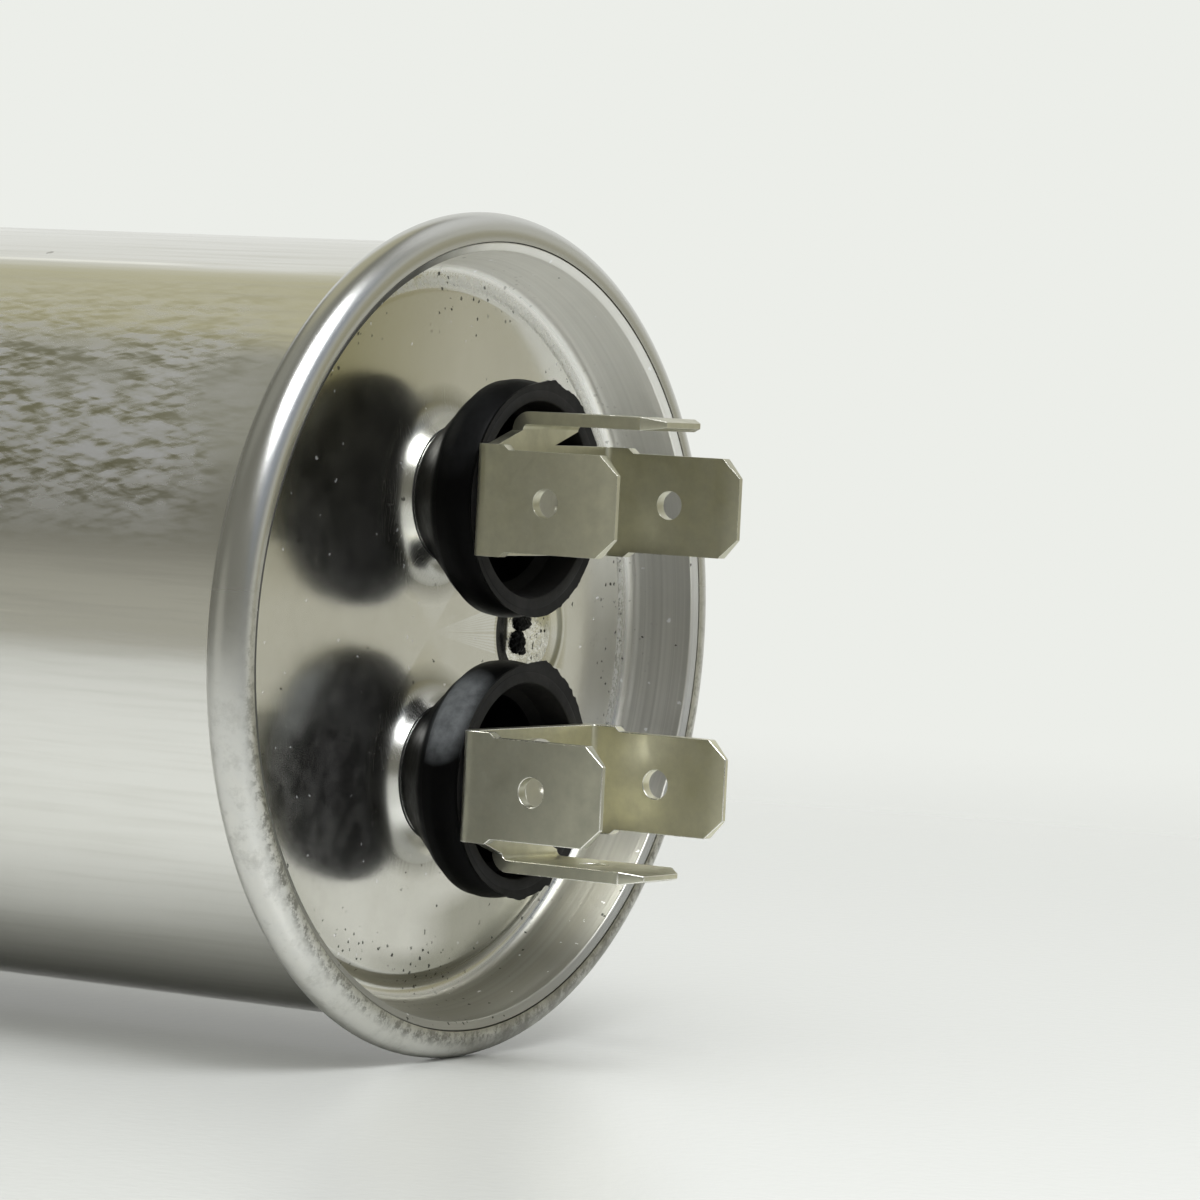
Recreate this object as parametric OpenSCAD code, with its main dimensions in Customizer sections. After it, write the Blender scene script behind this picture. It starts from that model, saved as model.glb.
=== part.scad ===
// Motor run capacitor: round drawn can with a seamed lid, two insulated
// quick-connect terminals and a wound film element inside.
// Z runs along the can, the origin is the middle of the can's bottom, and
// the two terminals stand side by side along X.

/* [Can] */
// Outside diameter of the can wall
can_d = 50; // [44:0.5:60]
// Height from the bottom of the can to the top of the seam
can_height = 100; // [80:1:140]
// Thickness of the can wall
can_wall = 0.45; // [0.4:0.05:0.6]
// Thickness of the can bottom
can_floor = 0.8; // [0.6:0.1:1.2]
// Outside radius of the bottom edge
bottom_radius = 2; // [1.4:0.2:3]

/* [Seam] */
// Radius of the rolled bead's section
bead_r = 1.26; // [1.2:0.02:1.5]
// How far the bead stands out from the can wall
bead_out = 2.04; // [1.9:0.02:2.2]
// Radius of the outward bend between the can wall and the bead
root_r = 0.3; // [0.2:0.05:0.6]
// Width of the lid's folded edge on top of the seam
fold_w = 0.65; // [0.55:0.05:0.8]
// Open gap between the lid's folded edge and the curled edge of the can
seam_gap = 0.17; // [0.12:0.01:0.25]

/* [Lid] */
// Sheet thickness of the lid
lid_t = 0.4; // [0.3:0.05:0.5]
// Depth of the lid's flat panel below the top of the seam
lid_depth = 4.4; // [4.2:0.1:6]
// How much narrower the lid's wall is at its foot than at its fold
wall_taper = 0.75; // [0.5:0.05:1]
// Radius of the channel around the foot of the lid's wall
channel_r = 1; // [0.8:0.1:1.4]
// Depth of that channel below the panel
channel_depth = 0.35; // [0.2:0.05:0.5]
// Diameter of the raised collar under each terminal
collar_d = 9.7; // [9:0.1:11]
// Height of the raised collar
collar_h = 1.5; // [1:0.1:2]
// Diameter of the dimple around the fill hole
dimple_d = 7.8; // [7:0.1:8.6]
// Depth of the dimple
dimple_depth = 0.45; // [0.3:0.05:0.7]
// Distance of the dimple from the middle of the lid
dimple_offset = 11.4; // [11:0.1:13.5]
// Diameter of the fill hole
fill_hole_d = 3.4; // [3:0.1:4]

/* [Terminals] */
// Distance between the middles of the two terminals
terminal_spacing = 17.9; // [17:0.1:20]
// Outside diameter of the insulating cup at its mouth
cup_d = 15.2; // [14.6:0.1:16]
// Diameter of the cup's neck, where it sits on the collar
cup_neck_d = 9; // [8.4:0.1:9.4]
// Height of the cup from the collar to its mouth
cup_h = 6.1; // [5.5:0.1:7.5]
// Height of the cup's sloping lower part
cup_cone_h = 3; // [2.4:0.1:3.4]
// Wall thickness of the cup at its mouth
cup_wall = 1.36; // [1.1:0.02:1.6]
// Diameter of the rivet that holds each terminal together
rivet_d = 3.6; // [3.2:0.1:4.3]
// Diameter of the rivet's thick part between the cup's floor and the tabs
post_d = 5.6; // [5:0.1:6]

/* [Tabs] */
// Width of a quick-connect blade
blade_w = 6.35; // [4.8:0.05:6.35]
// Thickness of a blade
blade_t = 0.8; // [0.5:0.05:0.85]
// Height of the blade tips above the cup's mouth
blade_h = 10.7; // [10:0.1:12]
// Diameter of the latch hole in a blade
blade_hole_d = 1.85; // [1.5:0.05:2.2]
// Distance of the latch hole from the blade's tip
hole_from_tip = 5.05; // [4:0.05:5.3]
// Distance across the front and rear blades, outside to outside
tab_span = 15.2; // [14.6:0.1:16]
// Distance of the side blade's outer face from the terminal's middle
side_reach = 5.6; // [5.2:0.1:6.2]
// Width of the tab's foot, which is also the width of the blades' shoulders
foot_w = 7; // [6.7:0.1:7.2]
// Outside radius of the bends between the foot and the blades
bend_r = 1.2; // [1:0.05:1.4]

/* [Inside] */
// Thickness of the rubber seal under the lid
seal_t = 1.2; // [0.8:0.1:1.6]
// Diameter of the rubber seal under the lid
seal_d = 10.4; // [10:0.1:11]
// Thickness of the hard insulating washer under the seal
washer_t = 0.8; // [0.6:0.1:1.2]
// Thickness of the inner connection lug
lug_t = 0.5; // [0.4:0.05:0.8]
// Reach of the lug from the rivet's middle to its far end
lug_reach = 7.6; // [7:0.1:8]
// Diameter of an insulated inner lead
lead_d = 1.6; // [1.2:0.1:2]
// Height of the free space between the winding and the inner lugs
head_room = 8; // [7:0.5:20]
// Thickness of the sprayed metal on each end of the winding
spray_t = 0.6; // [0.4:0.1:1]
// Outside diameter of the winding's core tube
core_d = 9; // [8:0.2:11]
// Wall thickness of the core tube
core_wall = 1; // [0.8:0.1:1.2]
// Thickness of the insulating wrap around the winding
wrap_t = 0.5; // [0.3:0.1:0.8]
// Thickness of the insulating tray's floor under the winding
tray_floor = 3.4; // [3.4:0.1:4]
// Height of the insulating tray's rim
tray_h = 10; // [6:0.5:14]
// Thickness of the insulating tray's rim
tray_wall = 0.8; // [0.6:0.1:1]

/* [Hidden] */
$fn = 96;

slip = 0.05;            // clearance between pieces that slide together by hand
loose = 0.3;            // clearance around pieces that drop into place
big = 400;              // longer than anything here, for cutting away

// Can and seam, as radius and height
can_r = can_d / 2;
can_in = can_r - can_wall;
bead_c = can_r + bead_out - bead_r;
bead_z = can_height - bead_r;
bead_side = bead_c - can_r;
bead_drop = sqrt(bead_r * bead_r - bead_side * bead_side);
hem_share = (bead_r - can_wall) / bead_r;
root_side = bead_side - root_r;
root_rise = sqrt((bead_r + root_r) * (bead_r + root_r) - root_side * root_side);
root_z = bead_z - root_rise;    // the straight wall ends here
root_lap = 0.05;        // the bend reaches this far into the sheet it joins
hem_lap = 0.15;         // the curl and the wall share this much sheet
flare_start = 0.35;     // the wall's inside starts to flare this far below its outside

// Lid, as radius and height
fold_top_gap = 0.03;    // the lid's fold stays this far below the top of the bead
fold_step = 0.25;       // how far the lid's fold stands out past the can wall
fold_out = can_r + fold_step;
fold_in = fold_out - fold_w;
fold_z = can_height - fold_top_gap - fold_w / 2;
foot_in = fold_in - wall_taper;
panel_z = can_height - lid_depth;
channel_c = foot_in - channel_r;
channel_z = panel_z - channel_depth + channel_r;
tongue_t = 0.4;         // the lid's edge, which the curl closes over
tongue_drop = 0.1;
tongue_reach = 0.4;
tongue_root = 0.46;
tongue_z = bead_z - tongue_drop;
tongue_out = bead_c + tongue_reach;
collar_edge = 0.9;
dimple_slope = 0.35;
sealant_gap = 0.02;
sealant_rise = 0.56;
plug_foot_lip = 0.7;
plug_foot_t = 1;
plug_head_gap = 1.1;
plug_crown = 0.36;

// Terminals
terminal_x = terminal_spacing / 2;
neck_z = panel_z + collar_h;
mouth_z = neck_z + cup_h;
shoulder_z = neck_z + cup_cone_h;
cup_floor_t = 1.4;
cup_floor_z = neck_z + cup_floor_t;
cup_draft = 0.35;       // how much narrower the cup is at its shoulder than at its mouth
cup_edge = 0.2;
spigot_wall = 1;
spigot_r = rivet_d / 2 + spigot_wall;
lid_under = panel_z - lid_t;
collar_under = neck_z - lid_t;
seal_z = lid_under - seal_t;
washer_z = seal_z - washer_t;
lug_z = washer_z - lug_t;
rivet_head_t = 0.8;
rivet_head_lip = 1.1;
rivet_head_r = rivet_d / 2 + rivet_head_lip;
peened_t = 0.9;
peened_lip = 1;
mark_r = 0.8;           // the punch mark in the rivet's peened head
mark_depth = 0.35;
bevel_h = 1.1;          // height of the bevel at a blade's tip
bevel_share = 0.28;     // share of the sheet that each bevel takes off
tip_corner = 1.2;
shoulder_h = 2.35;      // height of the blade's shoulders above the foot
shoulder_slope = 0.4;
neck_slant = 2.575;     // the side blade's neck narrows this much towards the foot strip
neck_start = 0.6;
foot_z = mouth_z;
foot_top = foot_z + blade_t;
tip_z = foot_z + blade_h;

// Winding
tray_z = can_floor;
winding_z = tray_z + tray_floor;
winding_top = lug_z - rivet_head_t - head_room;
tray_r = can_in - loose;
wrap_r = tray_r - tray_wall - slip;
winding_r = wrap_r - wrap_t - slip;
core_r = core_d / 2;
core_bore = core_r - core_wall;
spacer_t = 1.2;
wrap_overhang = 0.8;
wrap_top = winding_top + spacer_t + wrap_overhang;

// Inner leads
washer_lip = 0.5;
lug_end_r = 1.6;
lug_half_w = 1.4;
lug_eye_wall = 1.5;
lug_tip = lug_reach - lug_end_r;
lead_steps = 14;
lead_sides = 8;
top_pad_x = terminal_x + lug_tip;
bottom_pad_x = core_r + 4;
bottom_run_z = winding_z - lead_d / 2 - 0.3;
lead_clear = 0.4;

// ---------- shapes used more than once ----------

module at_left() { translate([-terminal_x, 0, 0]) children(); }
module at_right() { translate([terminal_x, 0, 0]) mirror([1, 0, 0]) children(); }

// Flat ring standing on height z
module ring(r_out, r_in, z, h) {
    translate([0, 0, z]) difference() {
        cylinder(r = r_out, h = h);
        translate([0, 0, -1]) cylinder(r = r_in, h = h + 2);
    }
}

// Section of a drawn cup with a round bottom edge
module cup_section(r, z_low, z_high, edge) {
    translate([0, z_low + edge]) square([r, z_high - z_low - edge]);
    translate([0, z_low]) square([r - edge, edge]);
    translate([r - edge, z_low + edge]) circle(edge);
}

// ---------- can ----------

module curled_bead_section() {
    translate([bead_c, bead_z]) difference() {
        circle(bead_r);
        circle(bead_r - can_wall);
        polygon([[fold_out + seam_gap - bead_c, 2 * bead_r], [fold_out + seam_gap - bead_c, 0], [0, 0],
            [-(bead_side + hem_lap) * 3, -bead_drop * 3], [-bead_r * 5, -bead_r * 3],
            [-bead_r * 5, 2 * bead_r]]);
    }
}

module can_flare_section() {
    low = bead_z - bead_drop;
    polygon([[can_in, low - 1], [can_r, low - 1], [can_r, low],
        [bead_c - bead_side * hem_share, bead_z - bead_drop * hem_share], [can_in, low - flare_start]]);
}

// Fills the corner between wall and bead up to the outward bend
module bead_root_section() {
    along = bead_r / (bead_r + root_r);
    within = (bead_r - can_wall / 2) / (bead_r + root_r);
    difference() {
        polygon([[can_r - 2 * root_lap, root_z], [can_r, root_z],
            [bead_c - root_side * along, bead_z - root_rise * along],
            [bead_c - root_side * within, bead_z - root_rise * within],
            [can_r - root_lap, bead_z - bead_drop]]);
        translate([can_r + root_r, root_z]) circle(root_r);
    }
}

module can() {
    low = bead_z - bead_drop;
    color("silver") rotate_extrude() {
        difference() {
            cup_section(can_r, 0, low - 0.5, bottom_radius);
            cup_section(can_in, can_floor, low + 1, bottom_radius - can_wall);
        }
        can_flare_section();
        bead_root_section();
        curled_bead_section();
    }
}

// ---------- lid ----------

module lid_channel_section() {
    intersection() {
        translate([channel_c, channel_z]) circle(channel_r + lid_t);
        union() {
            square([foot_in + lid_t, panel_z]);
            translate([channel_c, 0]) square([channel_r + lid_t, channel_z]);
        }
    }
}

module lid_wall_section() {
    flare_z = bead_z - bead_drop - flare_start;
    polygon([[foot_in, channel_z], [fold_in, fold_z], [fold_out, fold_z],
        [fold_out, tongue_z + tongue_t], [tongue_out, tongue_z + tongue_t], [tongue_out, tongue_z],
        [fold_out - tongue_root, tongue_z], [can_in - slip, flare_z], [foot_in + lid_t, channel_z]]);
    translate([(fold_in + fold_out) / 2, fold_z]) circle(fold_w / 2);
}

module collar() {
    r = collar_d / 2;
    edge = collar_edge;
    rotate_extrude() {
        translate([0, lid_under]) square([r, panel_z - lid_under + collar_h - edge]);
        translate([0, lid_under]) square([r - edge, panel_z - lid_under + collar_h]);
        translate([r - edge, neck_z - edge]) circle(edge);
    }
}

module dimple_section(deeper, wider) {
    r = dimple_d / 2 + wider;
    top = panel_z - deeper;
    floor_z = top - dimple_depth;
    polygon([[0, floor_z], [r - dimple_slope, floor_z], [r, top], [r, top + 0.2], [0, top + 0.2]]);
}

module lid() {
    collar_in = collar_d / 2 - lid_t;
    color("gainsboro") difference() {
        union() {
            rotate_extrude() difference() {
                union() {
                    translate([0, lid_under]) square([channel_c, lid_t]);
                    lid_channel_section();
                    lid_wall_section();
                }
                translate([channel_c, channel_z]) circle(channel_r);
            }
            at_left() collar();
            at_right() collar();
            translate([0, dimple_offset, 0]) rotate_extrude() dimple_section(lid_t, lid_t * 0.6);
        }
        for (side = [-1, 1]) translate([side * terminal_x, 0, 0]) {
            translate([0, 0, lid_under - 1]) cylinder(r = collar_in, h = collar_h + 1);
            translate([0, 0, lid_under - 1]) cylinder(r = spigot_r + slip, h = collar_h + lid_t + 2);
        }
        translate([0, dimple_offset, 0]) {
            rotate_extrude() dimple_section(0, 0);
            translate([0, 0, panel_z - 3]) cylinder(d = fill_hole_d, h = 3);
        }
    }
}

// Soft compound in the curl, above the lid's tongue
module seam_sealant() {
    color("dimgray") rotate_extrude() difference() {
        translate([bead_c, bead_z]) circle(bead_r - can_wall - sealant_gap);
        square([big, tongue_z + tongue_t + sealant_gap]);
        translate([0, bead_z + sealant_rise]) square([big, 2]);
        square([fold_out + sealant_gap, big]);
    }
}

// Blind plug: a low head in the dimple, a shank and a spread foot below
module fill_plug() {
    z = panel_z - dimple_depth;
    shank = fill_hole_d / 2 - slip;
    head = dimple_d / 2 - plug_head_gap;
    foot = fill_hole_d / 2 + plug_foot_lip;
    foot_top_z = z - lid_t;
    foot_low_z = foot_top_z - plug_foot_t;
    color("lightgray") translate([0, dimple_offset, 0]) rotate_extrude() {
        polygon([[0, foot_low_z], [foot - 0.3, foot_low_z], [foot, foot_low_z + 0.3], [foot, foot_top_z],
            [shank, foot_top_z], [shank, z], [head, z], [head, z + 0.15], [head - 0.5, z + 0.32],
            [0, z + plug_crown]]);
    }
}

// ---------- terminals ----------

module terminal_cup() {
    mouth_r = cup_d / 2;
    inside_r = mouth_r - cup_wall;
    edge = cup_edge;
    bore = rivet_d / 2 + slip;
    color("#1b1b1c") rotate_extrude() difference() {
        polygon([[0, seal_z], [spigot_r, seal_z], [spigot_r, neck_z], [cup_neck_d / 2, neck_z],
            [cup_neck_d / 2 + 0.1, neck_z + 0.35], [mouth_r - cup_draft - 0.45, shoulder_z - 0.4],
            [mouth_r - cup_draft - 0.1, shoulder_z], [mouth_r - cup_draft, shoulder_z + 0.45],
            [mouth_r, mouth_z - edge], [mouth_r - edge, mouth_z], [0, mouth_z]]);
        polygon([[0, cup_floor_z], [post_d / 2 + 0.6, cup_floor_z],
            [inside_r - cup_draft - 0.5, shoulder_z + 0.6], [inside_r - 0.3, shoulder_z + 1.2],
            [inside_r, mouth_z], [inside_r, big], [0, big]]);
        square([bore, big]);
    }
}

// Side view of a blade, with its tip bevelled on both faces
module blade_side() {
    bevel = bevel_h;
    thin = blade_t * bevel_share;
    polygon([[0, bend_r], [blade_t, bend_r], [blade_t, blade_h - bevel], [blade_t - thin, blade_h],
        [thin, blade_h], [0, blade_h - bevel]]);
}

// Face view of a blade: wide shoulders at the root and cut corners at the tip
module blade_face() {
    w = blade_w / 2;
    s = foot_w / 2;
    corner = tip_corner;
    shoulder = shoulder_h;
    top = shoulder + shoulder_slope;
    polygon([[-s, bend_r], [s, bend_r], [s, shoulder], [w, top], [w, blade_h - corner],
        [w - corner, blade_h], [corner - w, blade_h], [-w, blade_h - corner], [-w, top], [-s, shoulder]]);
}

// A blade that rises from the foot, its outer face in the plane y = 0
module blade(root_w) {
    intersection() {
        rotate([90, 0, 90]) translate([0, 0, -foot_w / 2]) linear_extrude(foot_w) blade_side();
        translate([0, big / 2, 0]) rotate([90, 0, 0]) linear_extrude(big) difference() {
            blade_face();
            translate([0, blade_h - hole_from_tip]) circle(d = blade_hole_d);
        }
    }
    // Bend between the blade and the foot
    translate([-root_w / 2, bend_r, bend_r]) rotate([90, 0, 90]) linear_extrude(root_w) difference() {
        circle(bend_r);
        circle(bend_r - blade_t);
        translate([0, -2 * bend_r]) square(4 * bend_r);
        translate([-2 * bend_r, 0]) square(4 * bend_r);
    }
}

// Foot outline: the strip between the front and rear blades, and the slanted
// neck that carries the side blade
module foot_outline() {
    end = tab_span / 2 - bend_r;
    s = foot_w / 2;
    neck = side_reach - bend_r;
    polygon([[s, -end], [s, end], [-s, end], [-s, blade_w / 2 - neck_slant], [-neck, blade_w / 2],
        [-neck, -blade_w / 2], [-s, -end + neck_start], [-s, -end]]);
}

module terminal_tabs() {
    color("tan") translate([0, 0, foot_z]) {
        difference() {
            linear_extrude(blade_t) foot_outline();
            translate([0, 0, -1]) cylinder(d = rivet_d, h = blade_t + 2);
        }
        translate([0, -tab_span / 2, 0]) blade(foot_w);
        rotate([0, 0, 180]) translate([0, -tab_span / 2, 0]) blade(foot_w);
        translate([-side_reach, 0, 0]) rotate([0, 0, -90]) side_blade();
    }
}

module side_blade() {
    intersection() {
        blade(blade_w);
        translate([-blade_w / 2, -1, 0]) cube([blade_w, bend_r + 1, big]);
    }
}

// Rivet: head under the lug, shank through the cup, thick post in the cup
// and a peened head on the tabs
module terminal_rivet() {
    r = rivet_d / 2;
    top = foot_top + peened_t;
    color("darkgray") rotate_extrude() difference() {
        union() {
            translate([0, lug_z - rivet_head_t]) square([rivet_head_r, rivet_head_t]);
            square([r, foot_top]);
            translate([0, cup_floor_z]) square([post_d / 2, mouth_z - cup_floor_z]);
            polygon([[0, foot_top], [r + peened_lip, foot_top], [r + peened_lip, foot_top + 0.35],
                [r + 0.4, top], [0, top]]);
        }
        square([big, lug_z - rivet_head_t]);
        translate([0, top - mark_depth]) square([mark_r, big]);
    }
}

// ---------- under the lid ----------

module rubber_seal() {
    bore = spigot_r + slip;
    color("#2b2b2b") {
        ring(seal_d / 2, bore, seal_z, seal_t);
        ring(collar_d / 2 - lid_t - slip, bore, lid_under, collar_under - lid_under);
    }
}

module inner_washer() {
    color("saddlebrown") ring(seal_d / 2 + washer_lip, rivet_d / 2 + slip, washer_z, washer_t);
}

// Flat lug: an eye around the rivet and a tongue with a wire hole
module inner_lug() {
    color("goldenrod") translate([0, 0, lug_z]) linear_extrude(lug_t) difference() {
        union() {
            circle(rivet_d / 2 + lug_eye_wall);
            translate([-lug_tip, -lug_half_w]) square([lug_tip, 2 * lug_half_w]);
            translate([-lug_tip, 0]) circle(lug_end_r);
        }
        circle(r = rivet_d / 2);
        translate([-lug_tip, 0]) circle(d = lead_d + 2 * slip);
    }
}

// ---------- inner leads ----------

function bezier(a, b, c, d, t) =
    pow(1 - t, 3) * a + 3 * t * pow(1 - t, 2) * b + 3 * t * t * (1 - t) * c + pow(t, 3) * d;
function curve(a, b, c, d, first) = [for (i = [first : lead_steps]) bezier(a, b, c, d, i / lead_steps)];
function straight(a, b, n, first) = [for (i = [first : n]) a + (b - a) * i / n];
function heading(path, i) =
    let (a = path[max(i - 1, 0)], b = path[min(i + 1, len(path) - 1)], v = b - a) v / norm(v);

// Round lead swept along a path that lies in the plane y = 0
module swept_lead(path) {
    n = len(path);
    points = [for (i = [0 : n - 1]) let (h = heading(path, i), side = [h[1], -h[0]])
        for (k = [0 : lead_sides - 1]) let (a = 360 * k / lead_sides, r = lead_d / 2)
            [path[i][0] + side[0] * r * cos(a), r * sin(a), path[i][1] + side[1] * r * cos(a)]];
    walls = [for (i = [0 : n - 2], k = [0 : lead_sides - 1]) let (j = (k + 1) % lead_sides)
        [i * lead_sides + k, (i + 1) * lead_sides + k, (i + 1) * lead_sides + j, i * lead_sides + j]];
    near_end = [for (k = [0 : lead_sides - 1]) k];
    far_end = [for (k = [0 : lead_sides - 1]) n * lead_sides - 1 - k];
    polyhedron(points, concat([near_end, far_end], walls), convexity = 6);
}

top_lead_start = [-top_pad_x, lug_z + lug_t];
top_lead_end = [-top_pad_x, winding_top];
top_lead_slack = 2.5;   // sideways bow that lets the lid rise

module lead_to_top_spray() {
    drop = top_lead_start[1] - top_lead_end[1];
    bow = top_lead_slack;
    color("firebrick") swept_lead(concat([top_lead_start], curve(top_lead_start - [0, drop / 4],
        top_lead_start - [-bow, drop / 2], top_lead_end + [bow, drop / 2], top_lead_end + [0, drop / 6], 0),
        [top_lead_end]));
}

bottom_lead_start = [terminal_x - lug_tip, lug_z + lug_t];
core_entry = [0, winding_top - 3];
core_exit = [0, winding_z + 8];
bottom_lead_turn = [3, bottom_run_z];
bottom_lead_end = [bottom_pad_x, bottom_run_z];

module lead_to_bottom_spray() {
    color("royalblue") swept_lead(concat([bottom_lead_start],
        curve(bottom_lead_start - [0, 1.5], bottom_lead_start - [0, 5], core_entry + [0, 4], core_entry, 0),
        straight(core_entry, core_exit, 12, 1),
        curve(core_exit, core_exit - [0, 5], bottom_lead_turn - [3, 0], bottom_lead_turn, 1),
        straight(bottom_lead_turn, bottom_lead_end, 3, 1)));
}

// One domed joint around the top lead's end, and one over the bottom lead's end
module solder_joints() {
    color("lightslategray") {
        translate([-top_pad_x, 0, winding_top]) difference() {
            cylinder(r1 = lead_d / 2 + 1.4, r2 = lead_d / 2 + 0.5, h = 0.8);
            translate([0, 0, -1]) cylinder(r = lead_d / 2 + slip, h = 3);
        }
        translate([bottom_lead_end[0] + 0.1, 0, 0]) difference() {
            translate([0, 0, winding_z - 1.6]) cylinder(r1 = 1.1, r2 = 1.9, h = 1.6);
            translate([-4, 0, bottom_run_z]) rotate([0, 90, 0]) cylinder(r = lead_d / 2 + slip, h = 4);
        }
    }
}

// ---------- winding ----------

module film_winding() {
    film_h = winding_top - winding_z - 2 * spray_t;
    color("#d8d5c4") ring(winding_r, core_r + slip, winding_z + spray_t, film_h);
}

module top_spray() {
    color("#9a9a98") ring(winding_r, core_r + slip, winding_top - spray_t, spray_t);
}

module bottom_spray() {
    color("#9a9a98") ring(winding_r, core_r + slip, winding_z, spray_t);
}

module core_tube() {
    color("ivory") ring(core_r, core_bore, winding_z, winding_top - winding_z);
}

module winding_wrap() {
    color("khaki") ring(wrap_r, wrap_r - wrap_t, winding_z, wrap_top - winding_z);
}

// Tray under the winding, with a groove for the bottom lead
module insulating_tray() {
    groove = lead_d + 2 * lead_clear;
    well = 2.3;
    color("white") difference() {
        translate([0, 0, tray_z]) rotate_extrude() difference() {
            cup_section(tray_r, 0, tray_h, bottom_radius - can_wall);
            translate([0, tray_floor]) square([tray_r - tray_wall, tray_h]);
        }
        translate([0, 0, winding_z - lead_d - 1]) cylinder(r = core_bore, h = 10);
        translate([0, -groove / 2, winding_z - lead_d - 1]) cube([bottom_pad_x, groove, 10]);
        translate([bottom_pad_x, 0, winding_z - lead_d - 1]) cylinder(r = well, h = 10);
    }
}

// Disc on the winding that keeps the two leads apart
module top_spacer() {
    color("whitesmoke") difference() {
        ring(wrap_r - wrap_t - slip, core_r + 0.5, winding_top, spacer_t);
        translate([-top_pad_x, 0, winding_top - 1]) cylinder(r = lead_d / 2 + 2.4, h = spacer_t + 2);
    }
}

can();
lid();
seam_sealant();
fill_plug();
at_left() terminal_cup();  // terminal_cup_left
at_right() terminal_cup();  // terminal_cup_right
at_left() terminal_tabs();  // terminal_tabs_left
at_right() terminal_tabs();  // terminal_tabs_right
at_left() terminal_rivet();  // terminal_rivet_left
at_right() terminal_rivet();  // terminal_rivet_right
at_left() rubber_seal();  // rubber_seal_left
at_right() rubber_seal();  // rubber_seal_right
at_left() inner_washer();  // inner_washer_left
at_right() inner_washer();  // inner_washer_right
at_left() inner_lug();  // inner_lug_left
translate([terminal_x, 0, 0]) inner_lug();  // inner_lug_right
lead_to_top_spray();
lead_to_bottom_spray();
solder_joints();
top_spray();
bottom_spray();
film_winding();
core_tube();
winding_wrap();
insulating_tray();
top_spacer();
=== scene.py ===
import bpy
import math
from functools import partial
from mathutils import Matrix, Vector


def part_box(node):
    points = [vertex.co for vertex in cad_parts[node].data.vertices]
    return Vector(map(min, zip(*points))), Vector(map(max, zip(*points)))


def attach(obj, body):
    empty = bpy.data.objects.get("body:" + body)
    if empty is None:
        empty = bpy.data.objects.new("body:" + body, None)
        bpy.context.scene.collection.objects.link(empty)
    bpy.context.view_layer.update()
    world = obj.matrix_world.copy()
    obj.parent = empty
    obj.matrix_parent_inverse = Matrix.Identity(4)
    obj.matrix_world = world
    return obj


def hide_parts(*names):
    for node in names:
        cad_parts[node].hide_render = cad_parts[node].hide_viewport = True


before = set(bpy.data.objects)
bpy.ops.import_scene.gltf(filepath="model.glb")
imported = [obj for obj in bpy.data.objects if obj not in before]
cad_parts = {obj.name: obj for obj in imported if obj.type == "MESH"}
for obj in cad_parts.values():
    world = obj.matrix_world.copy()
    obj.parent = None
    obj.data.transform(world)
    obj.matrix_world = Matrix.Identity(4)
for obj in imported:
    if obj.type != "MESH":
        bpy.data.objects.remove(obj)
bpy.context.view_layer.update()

from types import SimpleNamespace
from mathutils import Matrix, Vector, noise

mm = 0.001
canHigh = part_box("can")[1]
rimTop = canHigh.z / mm
rimRadius = canHigh.x / mm
cupLow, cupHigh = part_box("terminal_cup_left")
cupTop, cupBottom = cupHigh.z / mm, cupLow.z / mm
terminalX = (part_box("terminal_cup_right")[0].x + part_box("terminal_cup_right")[1].x) / 2 / mm
plugLow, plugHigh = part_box("fill_plug")
plugBottom = plugLow.z / mm
plugY = (plugLow.y + plugHigh.y) / 2 / mm
rootBody = "root"
print("frame loaded, rim radius %.2f mm" % rimRadius)


# small helpers for modelling

def calm():
    if bpy.context.object and bpy.context.object.mode != "OBJECT":
        bpy.ops.object.mode_set(mode="OBJECT")
    bpy.ops.object.select_all(action="DESELECT")


def only(piece):
    calm()
    piece.select_set(True)
    bpy.context.view_layer.objects.active = piece


def spunPiece(name, outline, steps=160, closed=True, smooth=38):
    # a single vertex is drawn out along the outline, then spun about Z
    calm()
    bpy.ops.mesh.primitive_plane_add(size=mm, location=(0, 0, 0))
    piece = bpy.context.object
    piece.name = name
    piece.data.name = name
    bpy.ops.object.mode_set(mode="EDIT")
    bpy.ops.mesh.select_all(action="SELECT")
    bpy.ops.mesh.merge(type="CENTER")
    bpy.ops.mesh.select_all(action="SELECT")
    at = Vector((0, 0, 0))
    first = Vector((outline[0][0] * mm, 0, outline[0][1] * mm))
    bpy.ops.transform.translate(value=first - at)
    at = first
    for r, z in outline[1:]:
        there = Vector((r * mm, 0, z * mm))
        bpy.ops.mesh.extrude_region_move(TRANSFORM_OT_translate={"value": there - at})
        at = there
    if closed:
        bpy.ops.mesh.select_all(action="SELECT")
        bpy.ops.mesh.remove_doubles(threshold=0.000001)
    bpy.ops.mesh.select_all(action="SELECT")
    bpy.ops.mesh.spin(steps=steps, angle=2 * math.pi, center=(0, 0, 0), axis=(0, 0, 1))
    bpy.ops.mesh.select_all(action="SELECT")
    bpy.ops.mesh.remove_doubles(threshold=0.000002)
    bpy.ops.mesh.normals_make_consistent(inside=False)
    bpy.ops.object.mode_set(mode="OBJECT")
    bpy.ops.object.shade_smooth_by_angle(angle=math.radians(smooth))
    return piece


def slide(piece, x=0, y=0, z=0):
    # moves the mesh itself, so the object stays at the origin
    piece.data.transform(Matrix.Translation((x * mm, y * mm, z * mm)))
    return piece


def twin(piece, name, dx):
    copy = piece.copy()
    copy.data = piece.data.copy()
    copy.name = name
    copy.data.name = name
    bpy.context.collection.objects.link(copy)
    return slide(copy, dx)


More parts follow.
